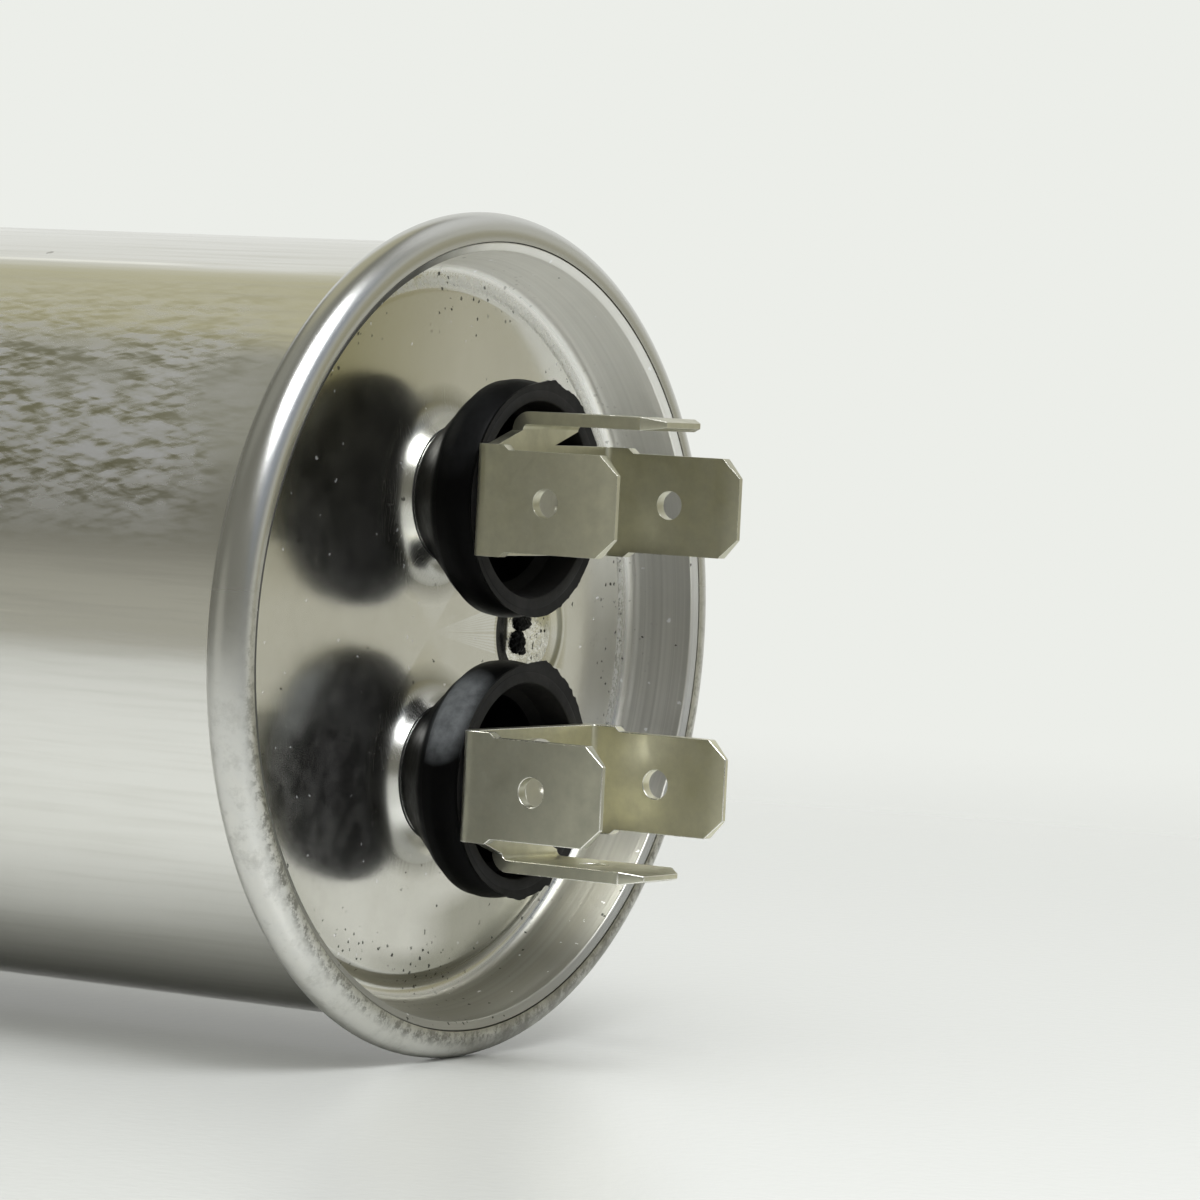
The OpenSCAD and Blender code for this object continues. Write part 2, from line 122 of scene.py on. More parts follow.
def arc(cx, cz, r, start, end, count):
    # points on an arc, angles in degrees from +R towards +Z
    return [(cx + r * math.cos(math.radians(start + (end - start) * i / count)),
             cz + r * math.sin(math.radians(start + (end - start) * i / count))) for i in range(count + 1)]


def cutWith(piece, cutter, operation="DIFFERENCE"):
    only(piece)
    bpy.ops.object.modifier_add(type="BOOLEAN")
    tool = piece.modifiers[-1]
    tool.operation = operation
    tool.solver = "EXACT"
    tool.object = cutter
    bpy.ops.object.modifier_apply(modifier=tool.name)
    bpy.data.objects.remove(cutter)


def evenNormals(piece):
    # large flat faces keep their own direction up to their edges
    only(piece)
    bpy.ops.object.modifier_add(type="WEIGHTED_NORMAL")
    even = piece.modifiers[-1]
    even.weight = 100
    even.keep_sharp = True
    bpy.ops.object.modifier_apply(modifier=even.name)


def settle(piece, node, material):
    piece.data.materials.clear()
    piece.data.materials.append(material)
    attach(piece, rootBody)
    if node:
        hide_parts(node)


# materials

def wiring(tree, material=None):
    # what the helpers below share: nodes, links, shader, place on the piece and the colour so far
    return SimpleNamespace(material=material, nodes=tree.nodes, links=tree.links, colour=None,
                           shader=tree.nodes.get("Principled BSDF"), place=tree.nodes.new("ShaderNodeTexCoord"))


def newMaterial(name):
    material = bpy.data.materials.new(name)
    material.use_nodes = True
    return wiring(material.node_tree, material)


def plugIn(web, socket, value):
    # a socket takes another node's output or a plain value
    if hasattr(value, "links"):
        web.links.new(value, socket)
    else:
        socket.default_value = value


def addNode(web, kind, values={}, **settings):
    node = web.nodes.new("ShaderNode" + kind)
    for name, setting in settings.items():
        setattr(node, name, setting)
    for name, value in values.items():
        plugIn(web, node.inputs[name], value)
    return node


def drive(web, name, value):
    plugIn(web, web.shader.inputs[name], value)


def math2(web, operation, first, second):
    return addNode(web, "Math", {0: first, 1: second}, operation=operation).outputs[0]


def arithmetic(web, *operations):
    # a short name for each sum that a finish needs
    return [partial(math2, web, operation) for operation in operations]


def remap(web, source, low, high, toLow=0, toHigh=1, kind="LINEAR"):
    ends = {"Value": source, "From Min": low, "From Max": high, "To Min": toLow, "To Max": toHigh}
    return addNode(web, "MapRange", ends, interpolation_type=kind).outputs["Result"]


def near(web, value, middle, reach, soft):
    # 1 within reach of the middle, fading to 0
    off = math2(web, "ABSOLUTE", math2(web, "SUBTRACT", value, middle), 0)
    return remap(web, off, reach, reach + soft, 1, 0)


def mixValue(web, factor, first, second):
    return addNode(web, "Mix", {0: factor, 2: first, 3: second}).outputs[0]


def blendColour(web, factor, first, second, kind="MIX"):
    first, second = [tone if hasattr(tone, "links") else (*tone, 1) for tone in (first, second)]
    return addNode(web, "Mix", {0: factor, 6: first, 7: second}, data_type="RGBA", blend_type=kind).outputs[2]


def coat(web, share, tone):
    # lays one more tone over the colour so far
    web.colour = blendColour(web, share, web.colour, tone)


def noiseOn(web, scale, stretch=(1, 1, 1), detail=4, rough=0.55, shift=(0, 0, 0), twist=0, turn=(0, 0, 0),
            kind="POINT"):
    mapping = addNode(web, "Mapping", {"Scale": stretch, "Location": shift, "Rotation": turn,
                                       "Vector": web.place.outputs["Object"]}, vector_type=kind)
    cloud = addNode(web, "TexNoise", {"Scale": scale, "Detail": detail, "Roughness": rough, "Distortion": twist,
                                      "Vector": mapping.outputs["Vector"]})
    return cloud.outputs["Fac"]


def strokesOn(web, scale, lean, shift):
    # long soft strokes that lean a little away from the length of the can
    return noiseOn(web, scale, (1, 1, 4.8), 2, 0.5, shift, 0.35, (-0.69 * lean, -0.72 * lean, 0), "TEXTURE")


def dotsOn(web, scale, size, share, shift=(0, 0, 0)):
    # small separate specks: only this share of the cells holds one
    mapping = addNode(web, "Mapping", {"Location": shift, "Vector": web.place.outputs["Object"]})
    cells = addNode(web, "TexVoronoi", {"Scale": scale, "Vector": mapping.outputs["Vector"]})
    pick = addNode(web, "SeparateColor", {0: cells.outputs["Color"]})
    ragged = noiseOn(web, scale * 5, (1, 1, 1), 2, 0.6, shift)
    reach = math2(web, "ADD", cells.outputs["Distance"], remap(web, ragged, 0.3, 0.7, -0.09, 0.09))
    width = remap(web, pick.outputs["Green"], 0, 1, size * 0.35, size)
    inside = math2(web, "LESS_THAN", reach, width)
    return math2(web, "MULTIPLY", inside, math2(web, "LESS_THAN", pick.outputs["Red"], share))


def scratchesOn(web, turn, shift, scale=240, width=0.006):
    # thin lines where a drawn-out noise passes its middle value, broken up by a second noise
    drawn = noiseOn(web, scale, (1, 14, 1), 1, 0.3, shift, 0, turn)
    line = near(web, drawn, 0.5, 0, width)
    broken = noiseOn(web, 420, (1, 1, 1), 2, 0.5, shift)
    return math2(web, "MULTIPLY", line, remap(web, broken, 0.52, 0.60))


def turningMarks(web, away, height, scale):
    # fine rings left by the seaming roll: they only vary with radius and height
    joined = addNode(web, "CombineXYZ", {"X": away, "Z": height})
    return addNode(web, "TexNoise", {"Scale": scale, "Detail": 3, "Vector": joined.outputs[0]}).outputs["Fac"]


def aroundAxis(web):
    # distance from the can's axis, then X, Y and height, as plain values in metres
    x, y, z = addNode(web, "SeparateXYZ", {0: web.place.outputs["Object"]}).outputs
    square = math2(web, "ADD", math2(web, "MULTIPLY", x, x), math2(web, "MULTIPLY", y, y))
    return math2(web, "POWER", square, 0.5), x, y, z


def bumpFrom(web, height, distance, strength=1.0, under=None):
    bump = addNode(web, "Bump", {"Strength": strength, "Distance": distance, "Height": height})
    if under is not None:
        web.links.new(under, bump.inputs["Normal"])
    drive(web, "Normal", bump.outputs["Normal"])
    return bump.outputs["Normal"]


canFinish = {"metal": (0.83, 0.825, 0.795), "dull": (0.64, 0.63, 0.57), "smear": (0.64, 0.64, 0.66),
             "troughAndReflection": (0.40, 0.38, 0.25), "speck": (0.30, 0.29, 0.26), "worn": (0.69, 0.685, 0.65),
             "rolled": (0.64, 0.64, 0.62), "scuffed": (0.20, 0.195, 0.175), "paintedShade": (0.34, 0.33, 0.27),
             "under": (0.38, 0.375, 0.33), "streaked": (0.56, 0.55, 0.50), "paintedGlint": (1, 0.99, 0.94),
             "rough": 0.11, "smearRough": 0.44, "beadRough": 0.25, "wornRough": 0.38,
             "beadStart": (0.0969, 0.0972), "crestStart": (0.0992, 0.0997)}


def canAluminium():
    web = newMaterial("drawnAluminium")
    look = canFinish
    away, x, y, z = aroundAxis(web)
    both, plus, larger = arithmetic(web, "MULTIPLY", "ADD", "MAXIMUM")
    # short wavy smears, in a strip that runs down one side of the wall to its bottom
    wave = plus(both(strokesOn(web, 2300, 0.24, (0, 0, 0)), 0.5),
                both(strokesOn(web, 2000, -0.19, (0.02, 0.05, 0.01)), 0.5))
    broad = noiseOn(web, 230, (1, 1, 0.45), 3, 0.6, (0.01, 0.02, 0.03))
    patch = both(both(near(web, x, -0.0135, 0.0035, 0.0050), remap(web, y, -0.008, -0.013)),
                 both(remap(web, broad, 0.32, 0.54, 0.2, 1), remap(web, z, 0.0968, 0.0905)))
    bands = noiseOn(web, 640, (1, 1, 0.09), 4, 0.6, (0.3, 0.1, 0.2))
    wisps = plus(both(wave, 0.75), both(bands, 0.25))
    smear = both(patch, remap(web, wisps, 0.42, 0.58))
    # the troughs between the smears are darker and olive: partly dark marks, partly a painted reflection of the olive
    # that the metal mirrors there
    troughAndReflection = both(patch, remap(web, wisps, 0.53, 0.41, 0, 0.9))
    web.colour = blendColour(web, smear, look["metal"], look["smear"])
    coat(web, troughAndReflection, look["troughAndReflection"])
    # a light haze, streaks along the can, two thin bright lines on the near side that are painted highlights, and a
    # few small marks
    haze = noiseOn(web, 70, (1, 1, 0.4), 3, 0.5, (0.2, 0, 0.1))
    coat(web, remap(web, haze, 0.45, 0.75, 0, 0.3), look["dull"])
    streak = noiseOn(web, 1500, (1, 1, 0.035), 3, 0.6, (0.5, 0.1, 0))
    coat(web, remap(web, streak, 0.46, 0.74, 0, 0.26), look["streaked"])
    # painted highlights: two thin bright lines on the near side of the wall
    line = larger(both(near(web, x, -0.02275, 0.00002, 0.0001), remap(web, z, 0.084, 0.080)),
                  both(near(web, x, -0.0007, 0.00002, 0.00006), remap(web, z, 0.083, 0.078, 0, 0.7)))
    coat(web, both(line, remap(web, y, 0, -0.004)), look["paintedGlint"])
    marks = dotsOn(web, 190, 0.05, 0.30, (0.013, 0.004, 0.02))
    coat(web, both(marks, 0.75), look["speck"])
    # the bead is rolled smooth, worn matt and scuffed on the side it has lain on
    bead = remap(web, z, *look["beadStart"])
    coat(web, bead, look["rolled"])
    rubbed = both(bead, remap(web, x, -0.006, 0.010))
    mottle = noiseOn(web, 900, (1, 1, 1), 5, 0.7, (0.4, 0.1, 0))
    coat(web, both(rubbed, remap(web, mottle, 0.30, 0.62, 0.25, 1)), look["worn"])
    scuffs = noiseOn(web, 560, (1, 1, 1), 7, 0.72, (0.2, 0.6, 0.1))
    coat(web, both(rubbed, remap(web, scuffs, 0.50, 0.66, 0, 0.32)), look["scuffed"])
    # painted shade: the side it lies on is darker, most of all the bead at the back, where real dark scuffs lie too
    below = both(remap(web, x, 0.0185, 0.0240, 0, 0.75), remap(web, bead, 0, 1, 1, 0.45))
    below = both(below, remap(web, y, -0.001, 0.010, 1, 0.35))
    lowBack = both(both(bead, remap(web, x, 0.012, 0.021, 0, 0.8)), remap(web, y, -0.010, 0.004))
    lowScuffsAndShade = both(lowBack, remap(web, scuffs, 0.36, 0.60, 0.35, 1))
    coat(web, larger(below, lowScuffsAndShade), look["under"])
    worst = both(both(lowBack, remap(web, y, -0.004, 0.006)), remap(web, scuffs, 0.40, 0.54, 0.3, 0.85))
    coat(web, worst, look["scuffed"])
    # painted shade on the inner side of the bead's top, towards the seam
    topSide = remap(web, z, *look["crestStart"])
    inside = both(topSide, remap(web, away, 0.0258, 0.0252, 0, 0.5))
    coat(web, inside, look["paintedShade"])
    # dark flecks scuffed into the worn crest
    crest = both(both(rubbed, near(web, away, 0.0256, 0.0002, 0.0005)), topSide)
    flecks = noiseOn(web, 1700, (1, 1, 1), 5, 0.75, (0.7, 0.2, 0.1))
    coat(web, both(crest, remap(web, flecks, 0.46, 0.58, 0, 0.85)), look["scuffed"])
    # a painted shadow along the root of the bead
    coat(web, both(near(web, z, 0.09700, 0.00010, 0.00022), 0.8), look["paintedShade"])
    drive(web, "Base Color", web.colour)
    plain = remap(web, streak, 0.40, 0.70, look["rough"], look["rough"] + 0.12)
    rough = mixValue(web, smear, plain, look["smearRough"])
    rough = mixValue(web, bead, rough, look["beadRough"])
    drive(web, "Roughness", mixValue(web, rubbed, rough, look["wornRough"]))
    drive(web, "Metallic", remap(web, smear, 0, 1, 0.99, 0.80))
    grain = noiseOn(web, 2600, (1, 1, 0.12), 2, 0.5)
    first = bumpFrom(web, grain, 0.0000022, 0.5)
    second = bumpFrom(web, streak, 0.0000030, 0.5, first)
    pitted = bumpFrom(web, both(rubbed, mottle), 0.00005, 0.5, second)
    bumpFrom(web, both(plus(patch, 0.03), wisps), 0.000012, 0.5, pitted)
    return web.material


lidFinish = {"metal": (0.80, 0.795, 0.765), "dull": (0.68, 0.67, 0.62), "speck": (0.035, 0.035, 0.03),
             "olive": (0.44, 0.42, 0.26), "wall": (0.80, 0.79, 0.75), "scraped": (0.86, 0.86, 0.85),
             "lines": (0.47, 0.465, 0.43), "brushed": (0.28, 0.275, 0.24), "paintedLowFold": (0.36, 0.355, 0.32),
             "paintedShade": (0.30, 0.30, 0.25), "shaded": (0.42, 0.415, 0.36), "nearSlopeShade": (0.004, 0.004, 0.0035),
             "collarShade": (0.30, 0.295, 0.255), "lowWallShade": (0.27, 0.26, 0.205), "nearEdgeShade": (0.05, 0.05, 0.045),
             "dust": (0.9, 0.9, 0.9), "dimpleStain": (0.50, 0.46, 0.22), "panelRough": (0.14, 0.20), "wallRough": 0.39,
             "footRough": 0.42, "collarRough": 0.25, "dimpleRough": 0.22, "nearEdgeRough": 0.6, "scratchRough": 0.42,
             "clean": 0.984, "dusty": 0.72}


def lidAluminium():
    web = newMaterial("pressedAluminium")
    look = lidFinish
    away, x, y, z = aroundAxis(web)
    both, plus, minus, larger = arithmetic(web, "MULTIPLY", "ADD", "SUBTRACT", "MAXIMUM")
    cloud = noiseOn(web, 150, (1, 1, 1), 4, 0.6)
    blotch = noiseOn(web, 600, (1, 1, 1), 5, 0.68, (0.7, 0.2, 0.1))
    web.colour = blendColour(web, remap(web, cloud, 0.4, 0.65, 0, 0.4), look["metal"], look["dull"])
    # an olive tint on one side of the panel, partly tarnish and partly a painted reflection of the olive that the
    # metal mirrors there
    tarnishAndReflection = both(remap(web, x, -0.002, -0.016), remap(web, y, 0.002, -0.012))
    coat(web, both(tarnishAndReflection, 0.85), look["olive"])
    # the wall is duller and mottled
    onWall = remap(web, away, 0.0232, 0.0237)
    coat(web, both(onWall, remap(web, blotch, 0.35, 0.65, 0.35, 1)), look["wall"])
    # fine rings and longer streaks run around the wall and the fold
    rings = turningMarks(web, away, z, 4200)
    broadRings = turningMarks(web, away, z, 900)
    # painted shade: the low side of the wall is darker
    coat(web, both(onWall, remap(web, x, 0.005, 0.016, 0, 0.85)), look["lowWallShade"])
    # the rings and streaks on the wall, strongest on the low side
    marked = both(onWall, remap(web, x, -0.010, 0.010, 0.3, 1))
    coat(web, both(marked, remap(web, broadRings, 0.45, 0.65, 0, 0.34)), look["lines"])
    coat(web, both(marked, remap(web, rings, 0.42, 0.62, 0, 0.30)), look["brushed"])
    # painted shade: the near edge of the fold is near black
    paintedNearEdge = both(remap(web, away, 0.0243, 0.0246), remap(web, y, -0.002, -0.010, 0, 0.9))
    coat(web, paintedNearEdge, look["nearEdgeShade"])
    # painted shade: the low side of the fold is darker
    lowFoldShade = both(remap(web, away, 0.0243, 0.0247), remap(web, x, 0.004, 0.018, 0, 0.95))
    coat(web, lowFoldShade, look["paintedLowFold"])
    # a scraped ring along the foot of the wall, with dark pits in it
    footRing = both(near(web, away, 0.0227, 0.00035, 0.0003), remap(web, x, 0.004, 0.013, 1, 0.12))
    scrape = noiseOn(web, 1700, (1, 1, 1), 5, 0.75, (0.3, 0.1, 0.8))
    scraped = both(footRing, remap(web, scrape, 0.42, 0.56))
    coat(web, both(scraped, 0.8), look["scraped"])
    lowSide = remap(web, x, 0.006, 0.014)
    # painted shade: a dark band in the channel on the low side
    channelShade = both(both(lowSide, near(web, away, 0.0218, 0.0005, 0.0011)), remap(web, y, -0.006, 0.001, 0.25, 1))
    coat(web, both(channelShade, 0.85), look["paintedShade"])
    # painted shade: a darker wedge on the low side of the panel
    paintedWedge = both(both(remap(web, away, 0.0170, 0.0186, 0, 0.92), remap(web, y, -0.001, 0.004)), lowSide)
    coat(web, both(paintedWedge, remap(web, away, 0.0220, 0.0226, 1, 0)), look["shaded"])
    # pits: many at the foot, some on the low side of the panel, few elsewhere
    zone = near(web, away, 0.0216, 0.0010, 0.0016)
    footPits = both(dotsOn(web, 1900, 0.25, 0.62, (0.11, 0.03, 0.07)), zone)
    gather = noiseOn(web, 160, (1, 1, 1), 2, 0.5, (0.9, 0.4, 0.3))
    footPits = both(footPits, remap(web, gather, 0.42, 0.50))
    sidePits = both(both(dotsOn(web, 1350, 0.15, 0.40, (0.02, 0.05, 0.01)), lowSide),
                    remap(web, away, 0.013, 0.019))
    lonePits = dotsOn(web, 760, 0.09, 0.34, (0.31, 0.07, 0.02))
    pits = larger(larger(footPits, sidePits), lonePits)
    coat(web, both(pits, 0.92), look["speck"])
    # dust and fine scratches
    dust = dotsOn(web, 900, 0.11, 0.42, (0.6, 0.2, 0.4))
    scratch = larger(scratchesOn(web, (0, 0, 0.5), (0.1, 0.3, 0)),
                     scratchesOn(web, (0, 0, -0.9), (0.5, 0.2, 0), 300))
    scratch = both(scratch, remap(web, away, 0.0215, 0.0222, 1, 0))
    # collars and dimple have their own polish, and a ring of painted shade lies round each collar
    offCentre = minus(math2(web, "ABSOLUTE", x, 0), terminalX * mm)
    span = plus(both(offCentre, offCentre), both(y, y))
    onCollar = remap(web, span, 0.0060 ** 2, 0.0070 ** 2, 1, 0)
    # painted shade: a darker ring round each collar
    collarShadeRing = near(web, math2(web, "POWER", span, 0.5), 0.0057, 0.0003, 0.0012)
    coat(web, both(collarShadeRing, 0.7), look["collarShade"])
    along = minus(y, plugY * mm)
    fromPlug = math2(web, "POWER", plus(both(along, along), both(x, x)), 0.5)
    inDimple = remap(web, fromPlug, 0.0038, 0.0042, 1, 0)
    # painted shade makes the near side of the dimple's slope near black and its far side darker; an olive stain lies
    # on the far side
    nearSlopeShade = both(both(near(web, fromPlug, 0.00322, 0.00068, 0.0001), remap(web, along, -0.0006, -0.0016)),
                   remap(web, blotch, 0.30, 0.42, 0.985, 1))
    farSlopeShade = both(near(web, fromPlug, 0.00368, 0.00016, 0.00016), remap(web, along, 0, 0.0016, 0, 0.9))
    stain = both(inDimple, both(remap(web, x, 0.0004, -0.0024, 0, 0.8), remap(web, along, 0, 0.002)))
    coat(web, dust, look["dust"])
    coat(web, stain, look["dimpleStain"])
    coat(web, farSlopeShade, look["paintedShade"])
    coat(web, nearSlopeShade, look["nearSlopeShade"])
    drive(web, "Base Color", web.colour)
    rough = remap(web, cloud, 0.35, 0.7, *look["panelRough"])
    rough = mixValue(web, onWall, rough, look["wallRough"])
    rough = mixValue(web, paintedNearEdge, rough, look["nearEdgeRough"])
    rough = mixValue(web, scraped, rough, look["footRough"])
    rough = mixValue(web, onCollar, rough, look["collarRough"])
    rough = mixValue(web, inDimple, rough, look["dimpleRough"])
    drive(web, "Roughness", mixValue(web, both(scratch, 0.4), rough, look["scratchRough"]))
    # a patchy film of fine dust on the panel, heavier on its low side
    fineDust = noiseOn(web, 420, (1, 1, 1), 7, 0.74, (0.15, 0.45, 0.2))
    heavier = both(remap(web, x, 0, 0.016, 0.3, 1), remap(web, y, -0.008, -0.017, 0.35, 1))
    panelDust = both(both(remap(web, fineDust, 0.42, 0.62, 0, 0.5), heavier), remap(web, away, 0.0215, 0.022, 1, 0))
    panelDust = both(panelDust, remap(web, fromPlug, 0.0037, 0.0042))
    dusty = larger(larger(dust, both(scratch, 0.25)), panelDust)
    drive(web, "Metallic", mixValue(web, dusty, look["clean"], look["dusty"]))
    ringed = both(both(rings, remap(web, away, 0.0232, 0.0238, 0.02, 1)), remap(web, x, -0.012, 0.004, 0.35, 1))
    first = bumpFrom(web, ringed, 0.000020, 0.8)
    second = bumpFrom(web, both(scrape, plus(footRing, 0.05)), 0.00006, 0.6, first)
    fine = noiseOn(web, 1900, (1, 1, 1), 2, 0.5)
    third = bumpFrom(web, fine, 0.0000020, 0.4, second)
    dent = noiseOn(web, 260, (1, 1, 1), 2, 0.4, (0.3, 0.6, 0.2))
    swell = both(dent, mixValue(web, inDimple, remap(web, away, 0.0222, 0.0232, 0.10, 0.02), 1.0))
    bumpFrom(web, swell, 0.00016, 0.5, third)
    return web.material


def moulded(name, colour, roughLow, roughHigh, scale=600, depth=0.000008, gloss=0.5):
    web = newMaterial(name)
    drive(web, "Specular IOR Level", gloss)
    cloud = noiseOn(web, scale, (1, 1, 1), 4, 0.6)
    fine = noiseOn(web, scale * 5, (1, 1, 1), 2, 0.5)
    darker = tuple(c * 0.8 for c in colour)
    drive(web, "Base Color", blendColour(web, remap(web, cloud, 0.35, 0.7), colour, darker))
    drive(web, "Roughness", remap(web, cloud, 0.35, 0.7, roughLow, roughHigh))
    bumpFrom(web, fine, depth, 0.4)
    return web.material


def brushed(name, colour, roughLow, roughHigh, scale=500, depth=0.000006, paintedShadeTints=None):
    web = newMaterial(name)
    drive(web, "Metallic", 1)
    cloud = noiseOn(web, scale, (1, 1, 1), 5, 0.6)
    fine = noiseOn(web, scale * 4, (1, 1, 1), 3, 0.5)
    duller = tuple(c * 0.82 for c in colour)
    tone = blendColour(web, remap(web, cloud, 0.35, 0.7), colour, duller)
    if paintedShadeTints:
        # painted shade and light: the front blade is darker and the back blade lighter
        along = aroundAxis(web)[2]
        paintedTint = blendColour(web, remap(web, along, -0.003, 0.003), paintedShadeTints[0], paintedShadeTints[1])
        tone = blendColour(web, 1, tone, paintedTint, "MULTIPLY")
    drive(web, "Base Color", tone)
    drive(web, "Roughness", remap(web, cloud, 0.35, 0.7, roughLow, roughHigh))
    bumpFrom(web, fine, depth, 0.35)
    return web.material


plugFinish = {"metal": (0.95, 0.945, 0.91), "worn": (0.62, 0.61, 0.53), "stain": (0.50, 0.46, 0.20),
              "pitsAndEdgeShade": (0.025, 0.025, 0.02), "rough": (0.14, 0.36)}


def scratchedPlug():
    web = newMaterial("plugMetal")
    look = plugFinish
    x, y = aroundAxis(web)[1:3]
    both, minus, larger = arithmetic(web, "MULTIPLY", "SUBTRACT", "MAXIMUM")
    along = minus(y, plugY * mm)
    cloud = noiseOn(web, 620, (1, 1, 1), 5, 0.65)
    web.colour = blendColour(web, remap(web, cloud, 0.42, 0.62, 0, 0.9), look["metal"], look["worn"])
    # an olive stain on one side, ragged pits across the middle, and painted shade along the near edge
    stain = both(remap(web, x, 0.0002, -0.0016), remap(web, along, 0.0002, 0.0016))
    coat(web, both(stain, 0.85), look["stain"])
    ragged = noiseOn(web, 2600, (1, 1, 1), 5, 0.7, (0.3, 0.2, 0))
    line = near(web, along, 0.0008, 0.0002, 0.0007)
    pits = both(line, remap(web, ragged, 0.55, 0.60))
    pits = larger(pits, dotsOn(web, 2300, 0.3, 0.3, (0.1, 0.2, 0)))
    # painted shade: the near edge of the plug is dark
    pits = larger(pits, remap(web, along, -0.00225, -0.00245))
    coat(web, pits, look["pitsAndEdgeShade"])
    drive(web, "Base Color", web.colour)
    drive(web, "Metallic", 1)
    drive(web, "Roughness", remap(web, cloud, 0.35, 0.7, *look["rough"]))
    first = bumpFrom(web, cloud, 0.00030, 0.6)
    bumpFrom(web, ragged, 0.00003, 0.6, first)
    return web.material


# the rubbed tone is a painted highlight on each cup's band, full on the right cup and faint on the left
cupFinish = {"black": (0.0010, 0.0010, 0.0011), "rubbed": (0.115, 0.122, 0.128), "leftShare": 0.05, "rightShare": 1.0,
             "gloss": 0.055, "rough": (0.36, 0.50), "bandDrop": 1.5}


def sheenPatchCup(name, axis, share):
    # black phenolic with a painted highlight: a lighter patch on one side of its band
    web = newMaterial(name)
    drive(web, "Specular IOR Level", cupFinish["gloss"])
    x, y, z = aroundAxis(web)[1:]
    both, plus, minus = arithmetic(web, "MULTIPLY", "ADD", "SUBTRACT")
    side = plus(both(minus(x, axis * mm), -0.62), both(y, -0.78))
    band = near(web, z, (cupTop - cupFinish["bandDrop"]) * mm, 0.0007, 0.0010)
    cloud = noiseOn(web, 900, (1, 1, 1), 5, 0.65)
    patch = both(both(band, remap(web, side, 0.0065, 0.0073, 0, share)), remap(web, cloud, 0.3, 0.6, 0.5, 1))
    drive(web, "Base Color", blendColour(web, patch, cupFinish["black"], cupFinish["rubbed"]))
    drive(web, "Roughness", remap(web, cloud, 0.3, 0.7, *cupFinish["rough"]))
    bumpFrom(web, cloud, 0.00006, 0.4)
    return web.material


aluminiumCan = canAluminium()
aluminiumLid = lidAluminium()
blackPhenolic = moulded("blackPhenolic", cupFinish["black"], 0.26, 0.38, depth=0.000012, gloss=0.08)
phenolicMouth = moulded("cutPhenolic", (0.015, 0.0145, 0.0142), 0.6, 0.8, 500, 0.00003, 0.2)
sheenLeft = sheenPatchCup("phenolicLeft", -terminalX, cupFinish["leftShare"])
sheenRight = sheenPatchCup("phenolicRight", terminalX, cupFinish["rightShare"])
tinFinish = {"colour": (0.62, 0.605, 0.48), "rough": (0.30, 0.44), "paintedShadeTints": ((0.84, 0.85, 0.88), (1.28, 1.27, 1.24))}
tinPlate = brushed("tinPlate", tinFinish["colour"], *tinFinish["rough"], 700, 0.000009)
tinPlateRight = brushed("tinPlateRight", tinFinish["colour"], *tinFinish["rough"], 700, 0.000009, tinFinish["paintedShadeTints"])
bareEdge = brushed("bareEdge", (0.90, 0.89, 0.82), 0.20, 0.32, 900, 0.00001)
rivetMetal = brushed("rivetMetal", (0.62, 0.61, 0.56), 0.3, 0.45)
plugMetal = scratchedPlug()
darkSealant = moulded("darkSealant", (0.0012, 0.0012, 0.0011), 0.3, 0.55, 1500, 0.00008, 0.07)
seamCompound = moulded("seamCompound", (0.05, 0.05, 0.045), 0.45, 0.7, 900, 0.00002)
sealRubber = moulded("sealRubber", (0.03, 0.03, 0.03), 0.6, 0.8)
laminatedFibre = moulded("laminatedFibre", (0.36, 0.19, 0.09), 0.5, 0.7, 900)
tinnedBrass = brushed("tinnedBrass", (0.78, 0.62, 0.32), 0.25, 0.4)
redSleeve = moulded("redSleeve", (0.5, 0.05, 0.04), 0.4, 0.5)
blueSleeve = moulded("blueSleeve", (0.05, 0.12, 0.42), 0.4, 0.5)
solderMetal = brushed("solderMetal", (0.66, 0.66, 0.65), 0.25, 0.5)
sprayedZinc = brushed("sprayedZinc", (0.5, 0.5, 0.49), 0.5, 0.75, 1500, 0.00006)
woundFilm = moulded("woundFilm", (0.62, 0.60, 0.52), 0.2, 0.35, 300)
coreTube = moulded("coreTube", (0.78, 0.76, 0.68), 0.4, 0.55)
amberWrap = moulded("amberWrap", (0.66, 0.52, 0.22), 0.2, 0.35)
trayPlastic = moulded("trayPlastic", (0.80, 0.80, 0.77), 0.4, 0.55)
pressboard = moulded("pressboard", (0.70, 0.66, 0.55), 0.7, 0.85, 1200)
print("materials made")

nodeFinish = {
    "seam_sealant": seamCompound, "fill_plug": plugMetal,
    "terminal_rivet_left": rivetMetal, "terminal_rivet_right": rivetMetal,
    "rubber_seal_left": sealRubber, "rubber_seal_right": sealRubber,
    "inner_washer_left": laminatedFibre, "inner_washer_right": laminatedFibre,
    "inner_lug_left": tinnedBrass, "inner_lug_right": tinnedBrass,
    "lead_to_top_spray": redSleeve, "lead_to_bottom_spray": blueSleeve, "solder_joints": solderMetal,
    "top_spray": sprayedZinc, "bottom_spray": sprayedZinc, "film_winding": woundFilm,
    "core_tube": coreTube, "winding_wrap": amberWrap, "insulating_tray": trayPlastic, "top_spacer": pressboard,
    "can": aluminiumCan, "lid": aluminiumLid, "terminal_cup_left": blackPhenolic,
    "terminal_cup_right": blackPhenolic, "terminal_tabs_left": tinPlate, "terminal_tabs_right": tinPlateRight}
for nodeName, finish in nodeFinish.items():
    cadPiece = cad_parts[nodeName]
    cadPiece.data.materials.clear()
    cadPiece.data.materials.append(finish)


# can

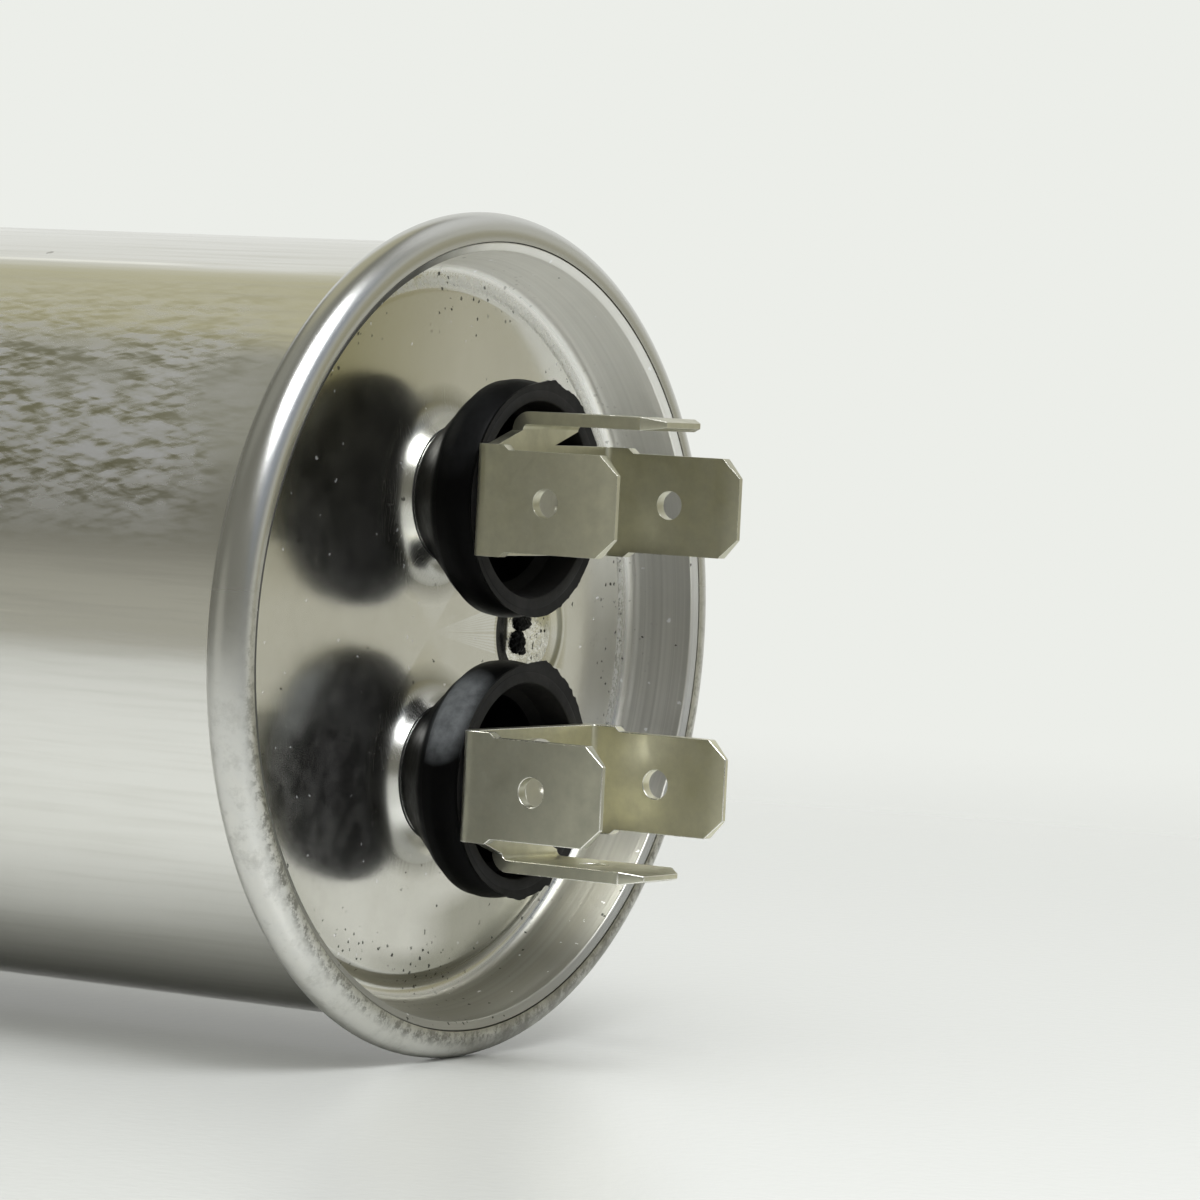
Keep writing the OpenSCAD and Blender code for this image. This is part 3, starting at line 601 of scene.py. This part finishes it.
can = {"radius": 25, "wall": 0.45, "floor": 0.8, "bottomEdge": 2, "beadRadius": 1.5, "beadOut": 2.04,
       "crestRise": 0.2, "foldStep": 0.17, "seamGap": 0.045, "rootRadius": 0.3}
beadC = can["radius"] + can["beadOut"] - can["beadRadius"]
crestZ = rimTop + can["crestRise"]
beadZ = crestZ - can["beadRadius"]
beadSide = beadC - can["radius"]
rootR = can["rootRadius"]
rootSide = beadSide - rootR
rootRise = math.sqrt((can["beadRadius"] + rootR) ** 2 - rootSide ** 2)
rootZ = beadZ - rootRise
rootAngle = math.degrees(math.atan2(rootRise, rootSide))
endAngle = math.degrees(math.acos((can["radius"] + can["foldStep"] + can["seamGap"] - beadC) / can["beadRadius"]))
inner = can["beadRadius"] - can["wall"]
endInner = math.degrees(math.acos((can["radius"] + can["foldStep"] + can["seamGap"] - beadC) / inner))
flareZ = beadZ - math.sqrt(can["beadRadius"] ** 2 - beadSide ** 2)
edge = can["bottomEdge"]
insideR = can["radius"] - can["wall"]
canOutline = [(0.0, 0.0), (12, 0.0), (22, 0.0)] + arc(can["radius"] - edge, edge, edge, -90, 0, 10)
canOutline += [(can["radius"], z) for z in (20, 40, 60, 80, 90, 96)]
canOutline += arc(can["radius"] + rootR, rootZ, rootR, 180, rootAngle, 8)
canOutline += arc(beadC, beadZ, can["beadRadius"], 180 + rootAngle, 360 + endAngle, 44)[1:]
startInner = 180 + math.degrees(math.acos(beadSide / can["beadRadius"])) + 4
canOutline += arc(beadC, beadZ, inner, 360 + endInner, startInner, 24)
canOutline += [(insideR, flareZ - 0.35), (insideR, 50)]
canOutline += arc(can["radius"] - edge, edge, edge - can["wall"], 0, -90, 6)
canOutline += [(20, can["floor"]), (0.0, can["floor"])]
canShell = spunPiece("can_shell", canOutline, 224)
settle(canShell, "can", aluminiumCan)
print("can modelled, %d faces" % len(canShell.data.polygons))


# lid

lid = {"sheet": 0.4, "depth": 4.4, "foldWidth": 0.57, "foldGap": 0.06, "taper": 0.75,
       "channelRadius": 0.9, "channelSlope": 35, "channelDepth": 0.35, "foldEdge": 0.08, "foldRoll": 0.2,
       "foldFall": 0.2, "collarRadius": 6.15, "collarHeight": 1.5, "collarFoot": 1.9, "collarTop": 1.55,
       "collarSlope": 50, "collarSink": 0.008, "dimpleRadius": 3.9, "dimpleDepth": 0.22}
foldOut = can["radius"] + can["foldStep"]
foldIn = foldOut - lid["foldWidth"]
foldZ = crestZ - lid["foldGap"] - lid["foldFall"] - lid["foldRoll"] - 0.1
footIn = foldIn - lid["taper"]
panelZ = rimTop - lid["depth"]
channelC = footIn - lid["channelRadius"]
channelZ = panelZ - lid["channelDepth"] + lid["channelRadius"]
neckZ = panelZ + lid["collarHeight"]
collarR = lid["collarRadius"]
slope = lid["channelSlope"]
shoulderR = lid["channelDepth"] / (1 - math.cos(math.radians(slope))) - lid["channelRadius"]
shoulderIn = channelC - (shoulderR + lid["channelRadius"]) * math.sin(math.radians(slope))
foldTop, foldEdge, foldRoll = crestZ - lid["foldGap"], lid["foldEdge"], lid["foldRoll"]
foldLow = foldTop - lid["foldFall"]
lidOutline = [(0.0, panelZ), (8, panelZ), (16, panelZ), (20, panelZ)]
lidOutline += arc(shoulderIn, panelZ - shoulderR, shoulderR, 90, 90 - slope, 8)
lidOutline += arc(channelC, channelZ, lid["channelRadius"], 270 - slope, 360, 16)[1:]
lidOutline += [(footIn + lid["taper"] * f, channelZ + (foldZ - channelZ) * f) for f in (0.3, 0.6, 0.85)]
lidOutline += arc(foldIn + foldRoll, foldLow - foldRoll, foldRoll, 180, 125, 8)
lidOutline += arc(foldOut - foldEdge, foldTop - foldEdge, foldEdge, 90, 0, 6)
lidOutline += [(foldOut, beadZ + 0.3), (foldOut, beadZ - 0.6)]
lidOutline += [(insideR, beadZ - 1.0), (footIn + lid["sheet"], channelZ)]
lidOutline += arc(channelC, channelZ, lid["channelRadius"] + lid["sheet"], 0, -90 - slope, 8)
lidOutline += [(shoulderIn, panelZ - lid["sheet"]), (0.0, panelZ - lid["sheet"])]
lidPan = spunPiece("lid_pan", lidOutline, 224, smooth=32)

# the dimple is pressed into the panel with a soft sloping edge
dimple = lid["dimpleRadius"]
floorZ = panelZ - lid["dimpleDepth"]
hollow = spunPiece("dimple_cutter", [(0.0, floorZ), (dimple - 1.15, floorZ), (dimple - 0.95, floorZ + 0.03),
                                     (dimple - 0.75, floorZ + 0.07), (dimple - 0.35, panelZ - 0.05),
                                     (dimple - 0.18, panelZ - 0.018), (dimple, panelZ - 0.002),
                                     (dimple + 0.1, panelZ + 0.02), (dimple + 0.1, panelZ + 1), (0.0, panelZ + 1)], 96)
slide(hollow, 0, plugY)
under = spunPiece("dimple_under", [(0.0, panelZ - lid["dimpleDepth"] - lid["sheet"]),
                                   (dimple - 0.5, panelZ - lid["dimpleDepth"] - lid["sheet"]),
                                   (dimple + 0.2, panelZ - lid["sheet"]), (dimple + 0.2, panelZ - 0.1),
                                   (0.0, panelZ - 0.1)], 72)
slide(under, 0, plugY)
cutWith(lidPan, under, "UNION")
cutWith(lidPan, hollow)

# raised collars, each with a long soft flank
steep, footArc, topArc = math.radians(lid["collarSlope"]), lid["collarFoot"], lid["collarTop"]
low = panelZ - lid["collarSink"]
straight = neckZ - low - (footArc + topArc) * (1 - math.cos(steep))
topR = collarR - (footArc + topArc) * math.sin(steep) - straight / math.tan(steep)
collarOutline = [(0.0, panelZ - 0.2), (collarR, panelZ - 0.2)]
collarOutline += arc(collarR, low + footArc, footArc, 270, 270 - lid["collarSlope"], 24)
collarOutline += arc(topR, neckZ - topArc, topArc, 90 - lid["collarSlope"], 90, 24)
collarOutline += [(0.0, neckZ)]
collarLeft = spunPiece("collar_left", collarOutline, 96)
slide(collarLeft, -terminalX)
collarRight = twin(collarLeft, "collar_right", 2 * terminalX)
cutWith(lidPan, collarLeft, "UNION")
cutWith(lidPan, collarRight, "UNION")
only(lidPan)
bpy.ops.object.shade_smooth_by_angle(angle=math.radians(34))
evenNormals(lidPan)
settle(lidPan, "lid", aluminiumLid)
print("lid modelled, %d faces" % len(lidPan.data.polygons))

# the fill plug lies low in the dimple, and three dabs of dark sealant cover its edge
plug = {"radius": 2.75, "rise": 0.07, "stem": 1.6,
        "dabs": [(-0.52, -0.80, 0.60, 1.00, 0.40, 3.1),  # x, y, width, depth and height, seed
                 (0.68, -1.20, 0.74, 0.74, 0.46, 7.7), (1.34, -0.60, 0.28, 0.42, 0.14, 1.3)]}
plugRise = floorZ + plug["rise"]
plugDisc = spunPiece("plug_disc", [(0.0, plugRise), (1.5, plugRise - 0.01), (2.3, floorZ + 0.035),
                                   (plug["radius"], floorZ + 0.004), (plug["radius"], floorZ - 0.05),
                                   (plug["stem"], floorZ - 0.05), (plug["stem"], plugBottom), (0.0, plugBottom)], 64)
slide(plugDisc, 0, plugY)
settle(plugDisc, "fill_plug", plugMetal)
for number, (x, y, wide, deep, high, seed) in enumerate(plug["dabs"]):
    calm()
    bpy.ops.mesh.primitive_ico_sphere_add(subdivisions=5, radius=mm)
    dab = bpy.context.object
    dab.name = "sealant_dab_%d" % (number + 1)
    dab.data.name = dab.name
    for vertex in dab.data.vertices:
        at = vertex.co.normalized()
        lump = 1 + 0.30 * noise.noise(at * 1.3 + Vector((seed, 0, 0)))
        lump += 0.16 * noise.noise(at * 4 + Vector((0, seed, 0)))
        lump += 0.05 * noise.noise(at * 13 + Vector((0, 0, seed)))
        vertex.co = Vector((at.x * wide * lump, at.y * deep * lump, max(at.z, -0.35) * high * lump)) * mm
    only(dab)
    bpy.ops.object.shade_smooth()
    slide(dab, x, plugY + y, floorZ + 0.06)
    settle(dab, None, darkSealant)
print("plug and sealant modelled")


# insulating cups

cup = {"mouthRadius": 7.6, "wall": 1.36, "draft": 0.35, "lipRadius": 4.5, "lipDrop": 0.24, "coneHeight": 3,
       "floor": 1.4, "postRadius": 2.8, "boreRadius": 1.85, "edge": 0.8, "edgeLong": 1.9, "flash": 0.15, "tear": 0.22}
shoulderZ = neckZ + cup["coneHeight"]
mouthR, draft = cup["mouthRadius"], cup["draft"]
insideMouth = mouthR - cup["wall"]
lipZ = neckZ - cup["lipDrop"]
lipR, postR, boreR = cup["lipRadius"], cup["postRadius"], cup["boreRadius"]
cupOutline = [(boreR, cupBottom), (postR, cupBottom), (postR, neckZ - 0.02), (3.5, neckZ - 0.02), (4.1, neckZ - 0.18),
              (lipR - 0.28, lipZ + 0.02), (lipR - 0.1, lipZ), (lipR, lipZ + 0.1),
              (lipR + 0.14, lipZ + 0.35), (mouthR - draft - 0.7, shoulderZ - 0.65),
              (mouthR - draft - 0.3, shoulderZ - 0.25), (mouthR - draft - 0.08, shoulderZ + 0.12),
              (mouthR - draft, shoulderZ + 0.5), (mouthR - 0.1, cupTop - 2.6)]
cupOutline += [(mouthR + cup["edge"] * (out - 1), cupTop + cup["edgeLong"] * (up - 1))
               for out, up in arc(0, 0, 1, 0, 78, 16)]
cupOutline += [(mouthR - cup["edge"] * 0.92, cupTop)] + arc(insideMouth + 0.1, cupTop - 0.1, 0.1, 90, 180, 3)
cupOutline += [(insideMouth - 0.3, shoulderZ + 1.2), (insideMouth - draft - 0.5, shoulderZ + 0.6),
               (postR + 0.6, neckZ + cup["floor"]), (boreR, neckZ + cup["floor"]), (boreR, cupBottom)]
cupLeft = spunPiece("cup_left", cupOutline, 160, smooth=30)
cupRight = twin(cupLeft, "cup_right", 0)


def flashRing(name, seed):
    # a thin torn edge left by the mould, wider on one side of the mouth
    high, low = cupTop - 0.05, cupTop - 0.05 - cup["flash"]
    ring = spunPiece(name, [(mouthR - 0.7, low), (mouthR - 0.3, low), (mouthR - 0.3, high), (mouthR - 0.7, high),
                            (mouthR - 0.7, low)], 300, smooth=20)
    for vertex in ring.data.vertices:
        r = math.hypot(vertex.co.x, vertex.co.y)
        if r < (mouthR - 0.5) * mm:
            continue
        around = Vector((vertex.co.x / r, vertex.co.y / r, seed))
        torn = max(0, noise.noise(around * 4.2)) + 0.6 * max(0, noise.noise(around * 17 + Vector((3, seed, 0))))
        torn = round(torn * 5) / 5 * 0.6 + torn * 0.4
        side = min(1, max(0, (around.y + 0.25) / 0.5))
        reach = mouthR * mm - 0.3 * mm + side * (0.30 + cup["tear"] * torn * 2) * mm
        vertex.co.x, vertex.co.y = around.x * reach, around.y * reach
    return ring


for piece, node, x, seed, black in ((cupLeft, "terminal_cup_left", -terminalX, 1.7, sheenLeft),
                                    (cupRight, "terminal_cup_right", terminalX, 8.2, sheenRight)):
    ring = flashRing(piece.name + "_flash", seed)
    only(piece)
    ring.select_set(True)
    bpy.ops.object.join()
    slide(piece, x)
    settle(piece, node, black)
    piece.data.materials.append(phenolicMouth)
    for face in piece.data.polygons:
        inward = Vector((face.center.x - x * mm, face.center.y, 0)).dot(face.normal) < 0
        if (face.normal.z > 0.9 and face.center.z / mm > cupTop - 0.3) or (inward and face.center.z / mm > shoulderZ):
            face.material_index = 1
print("cups modelled")


# quick-connect tabs

tab = {"softEdge": 0.22, "segments": 4}
for side in ("left", "right"):
    node = "terminal_tabs_" + side
    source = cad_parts[node]
    calm()
    blades = source.copy()
    blades.data = source.data.copy()
    blades.parent = None
    blades.name = "tabs_" + side
    blades.data.name = blades.name
    blades.matrix_world = Matrix.Identity(4)
    for key in [k for k in blades.keys() if k.startswith("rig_")]:
        del blades[key]
    bpy.context.collection.objects.link(blades)
    only(blades)
    bpy.ops.object.mode_set(mode="EDIT")
    bpy.ops.mesh.select_all(action="SELECT")
    bpy.ops.mesh.remove_doubles(threshold=0.000002)
    bpy.ops.mesh.dissolve_limited(angle_limit=math.radians(1))
    bpy.ops.object.mode_set(mode="OBJECT")
    settle(blades, node, tinPlate if side == "left" else tinPlateRight)
    blades.data.materials.append(bareEdge)
    bpy.ops.object.modifier_add(type="BEVEL")
    soften = blades.modifiers[-1]
    soften.width = tab["softEdge"] * mm
    soften.segments = tab["segments"]
    soften.material = 1
    soften.limit_method = "ANGLE"
    soften.angle_limit = math.radians(32)
    bpy.ops.object.modifier_apply(modifier=soften.name)
    bpy.ops.object.shade_smooth_by_angle(angle=math.radians(50))
    evenNormals(blades)
print("tabs modelled")


# floor, light and camera

stage = {"floorColour": (0.72, 0.73, 0.71), "rough": 0.27, "ior": 1.5, "ahead": 0.8, "near": -0.8, "left": -0.9,
         "right": 0.9, "aheadWay": (0, 0.8405, -0.5418), "acrossWay": (0, 0.5418, 0.8405),
         "middleHeight": 0.06, "solid": 0.10, "gone": 0.34}


def stageFloor():
    # the can lies on its side in the main view, so the floor stands along its +X side
    calm()
    bpy.ops.mesh.primitive_plane_add(size=1, location=(0, 0, 0))
    floor = bpy.context.object
    floor.name = "stage_floor"
    x = rimRadius * mm
    middle, ahead, across = Vector((x, 0, canHigh.z)), Vector(stage["aheadWay"]), Vector(stage["acrossWay"])
    corners = [middle + ahead * stage[far] + across * stage[side] for far, side in
               (("near", "left"), ("ahead", "left"), ("near", "right"), ("ahead", "right"))]
    for vertex, spot in zip(floor.data.vertices, corners):
        vertex.co = spot
    floor.data.update()
    if floor.data.polygons[0].normal.x > 0:
        floor.data.flip_normals()
    web = newMaterial("paleFloor")
    drive(web, "Base Color", (*stage["floorColour"], 1))
    drive(web, "Roughness", stage["rough"])
    drive(web, "IOR", stage["ior"])
    # the floor fades out softly around the part
    offset = addNode(web, "VectorMath", {0: web.place.outputs["Object"], 1: (x, 0, stage["middleHeight"])},
                     operation="SUBTRACT")
    length = addNode(web, "VectorMath", {0: offset.outputs["Vector"]}, operation="LENGTH")
    bumpFrom(web, noiseOn(web, 1100, (1, 1, 1), 3, 0.6), 0.00005, 0.5)
    fade = remap(web, length.outputs["Value"], stage["solid"], stage["gone"], kind="SMOOTHSTEP")
    gone = math2(web, "MAXIMUM", addNode(web, "NewGeometry").outputs["Backfacing"], fade)
    choose = addNode(web, "MixShader", {0: gone, 1: web.shader.outputs["BSDF"],
                                        2: addNode(web, "BsdfTransparent").outputs["BSDF"]})
    web.links.new(choose.outputs["Shader"], web.nodes["Material Output"].inputs["Surface"])
    floor.data.materials.append(web.material)


stageFloor()


room = {"base": (0.175, 0.172, 0.140), "shown": (0.838, 0.855, 0.815),
        "soft": (0.995, 1.0, 0.97), "from": (-0.80, -0.60, 0), "fadesAt": -0.38, "most": 0.99,
        "lights": [  # direction, cosine where it starts and where it is full, colour
            ((-0.78, -0.20, -0.54), 0.86, 0.98, (0.295, 0.295, 0.25)),
            ((-0.80, 0.33, -0.50), 0.918, 0.973, (0.50, 0.48, 0.335)),
            ((0.15, -0.83, -0.54), 0.86, 0.99, (0.38, 0.375, 0.32)),
            ((-0.70, 0.69, 0.15), 0.90, 0.98, (0.75, 0.76, 0.74)),
            ((0.05, 0.85, 0.52), 0.55, 0.93, (0.60, 0.60, 0.54)),
            ((-0.15, 0.72, 0.66), 0.955, 0.99, (0.37, 0.35, 0.24)),
            ((-0.20, 0.85, -0.50), 0.825, 0.865, (0.80, 0.81, 0.78)),
            ((-0.55, 0.05, 0.83), 0.84, 0.97, (0.34, 0.37, 0.42)),
            ((-0.76, -0.15, 0.63), 0.953, 0.982, (6.2, 6.4, 6.6))]}


def makeWorld():
    world = bpy.data.worlds.new("paleRoom")
    bpy.context.scene.world = world
    world.use_nodes = True
    world.node_tree.nodes.clear()
    web = wiring(world.node_tree)

    def facing(way):
        ends = {0: web.place.outputs["Generated"], 1: way}
        return addNode(web, "VectorMath", ends, operation="DOT_PRODUCT").outputs["Value"]

    def background(colour, strength=1):
        return addNode(web, "Background", {"Color": colour, "Strength": strength}).outputs[0]

    def choose(ray, first, second):
        return addNode(web, "MixShader", {0: path.outputs[ray], 1: first, 2: second}).outputs[0]

    # soft areas of light that the metal mirrors, laid over one another in this order
    colour = room["base"]
    for direction, start, full, tone in room["lights"]:
        share = remap(web, facing(Vector(direction).normalized()), start, full, kind="SMOOTHSTEP")
        colour = blendColour(web, share, colour, tone)
    # diffuse light comes mostly from above and in front of the lying part
    strength = remap(web, facing(room["from"]), room["fadesAt"], 1, 0, room["most"])
    path = addNode(web, "LightPath")
    byGloss = choose("Is Glossy Ray", background((*room["soft"], 1), strength), background(colour))
    byCamera = choose("Is Camera Ray", byGloss, background((*room["shown"], 1)))
    addNode(web, "OutputWorld", {"Surface": byCamera})


makeWorld()


def areaLamp(name, at, towards, size, power, colour=(1, 1, 1), inGloss=True):
    calm()
    bpy.ops.object.light_add(type="AREA", location=at)
    lamp = bpy.context.object
    lamp.name = name
    lamp.data.shape = "RECTANGLE"
    lamp.data.size, lamp.data.size_y = size
    lamp.data.energy = power
    lamp.data.color = colour
    lamp.rotation_mode = "QUATERNION"
    lamp.rotation_quaternion = (Vector(at) - Vector(towards)).to_track_quat("Z", "Y")
    lamp.visible_camera = False
    lamp.visible_glossy = inGloss
    return lamp


lidSpot = (0, 0, 0.09)
lamps = {"overhead": {"at": (-0.52, -0.16, 0.40), "size": (0.34, 0.30), "power": 2.3, "colour": (0.97, 0.985, 1)},
         "fill": {"at": (-0.50, -0.36, 0.22), "size": (0.4, 0.4), "power": 0.6, "inGloss": False}}
for lampName, settings in lamps.items():
    areaLamp(lampName, towards=lidSpot, **settings)

lens = {"focal": 166.02, "sensor": 36, "at": (-17.06, -292.72, 296.81), "forward": (0.0406, 0.8401, -0.5409),
        "up": (-0.9979, 0.0071, -0.0639)}
calm()
bpy.ops.object.camera_add()
camera = bpy.context.object
camera.name = "camera"
camera.data.sensor_width = lens["sensor"]
camera.data.lens = lens["focal"]
camera.data.clip_start, camera.data.clip_end = 0.01, 10
backward = -Vector(lens["forward"]).normalized()
upward = Vector(lens["up"])
rightward = upward.cross(backward).normalized()
upward = backward.cross(rightward)
camera.matrix_world = Matrix(((rightward.x, upward.x, backward.x, lens["at"][0] * mm),
                              (rightward.y, upward.y, backward.y, lens["at"][1] * mm),
                              (rightward.z, upward.z, backward.z, lens["at"][2] * mm), (0, 0, 0, 1)))
bpy.context.scene.camera = camera
bpy.context.scene.view_settings.view_transform = "Standard"
print("stage, lamps and camera placed")
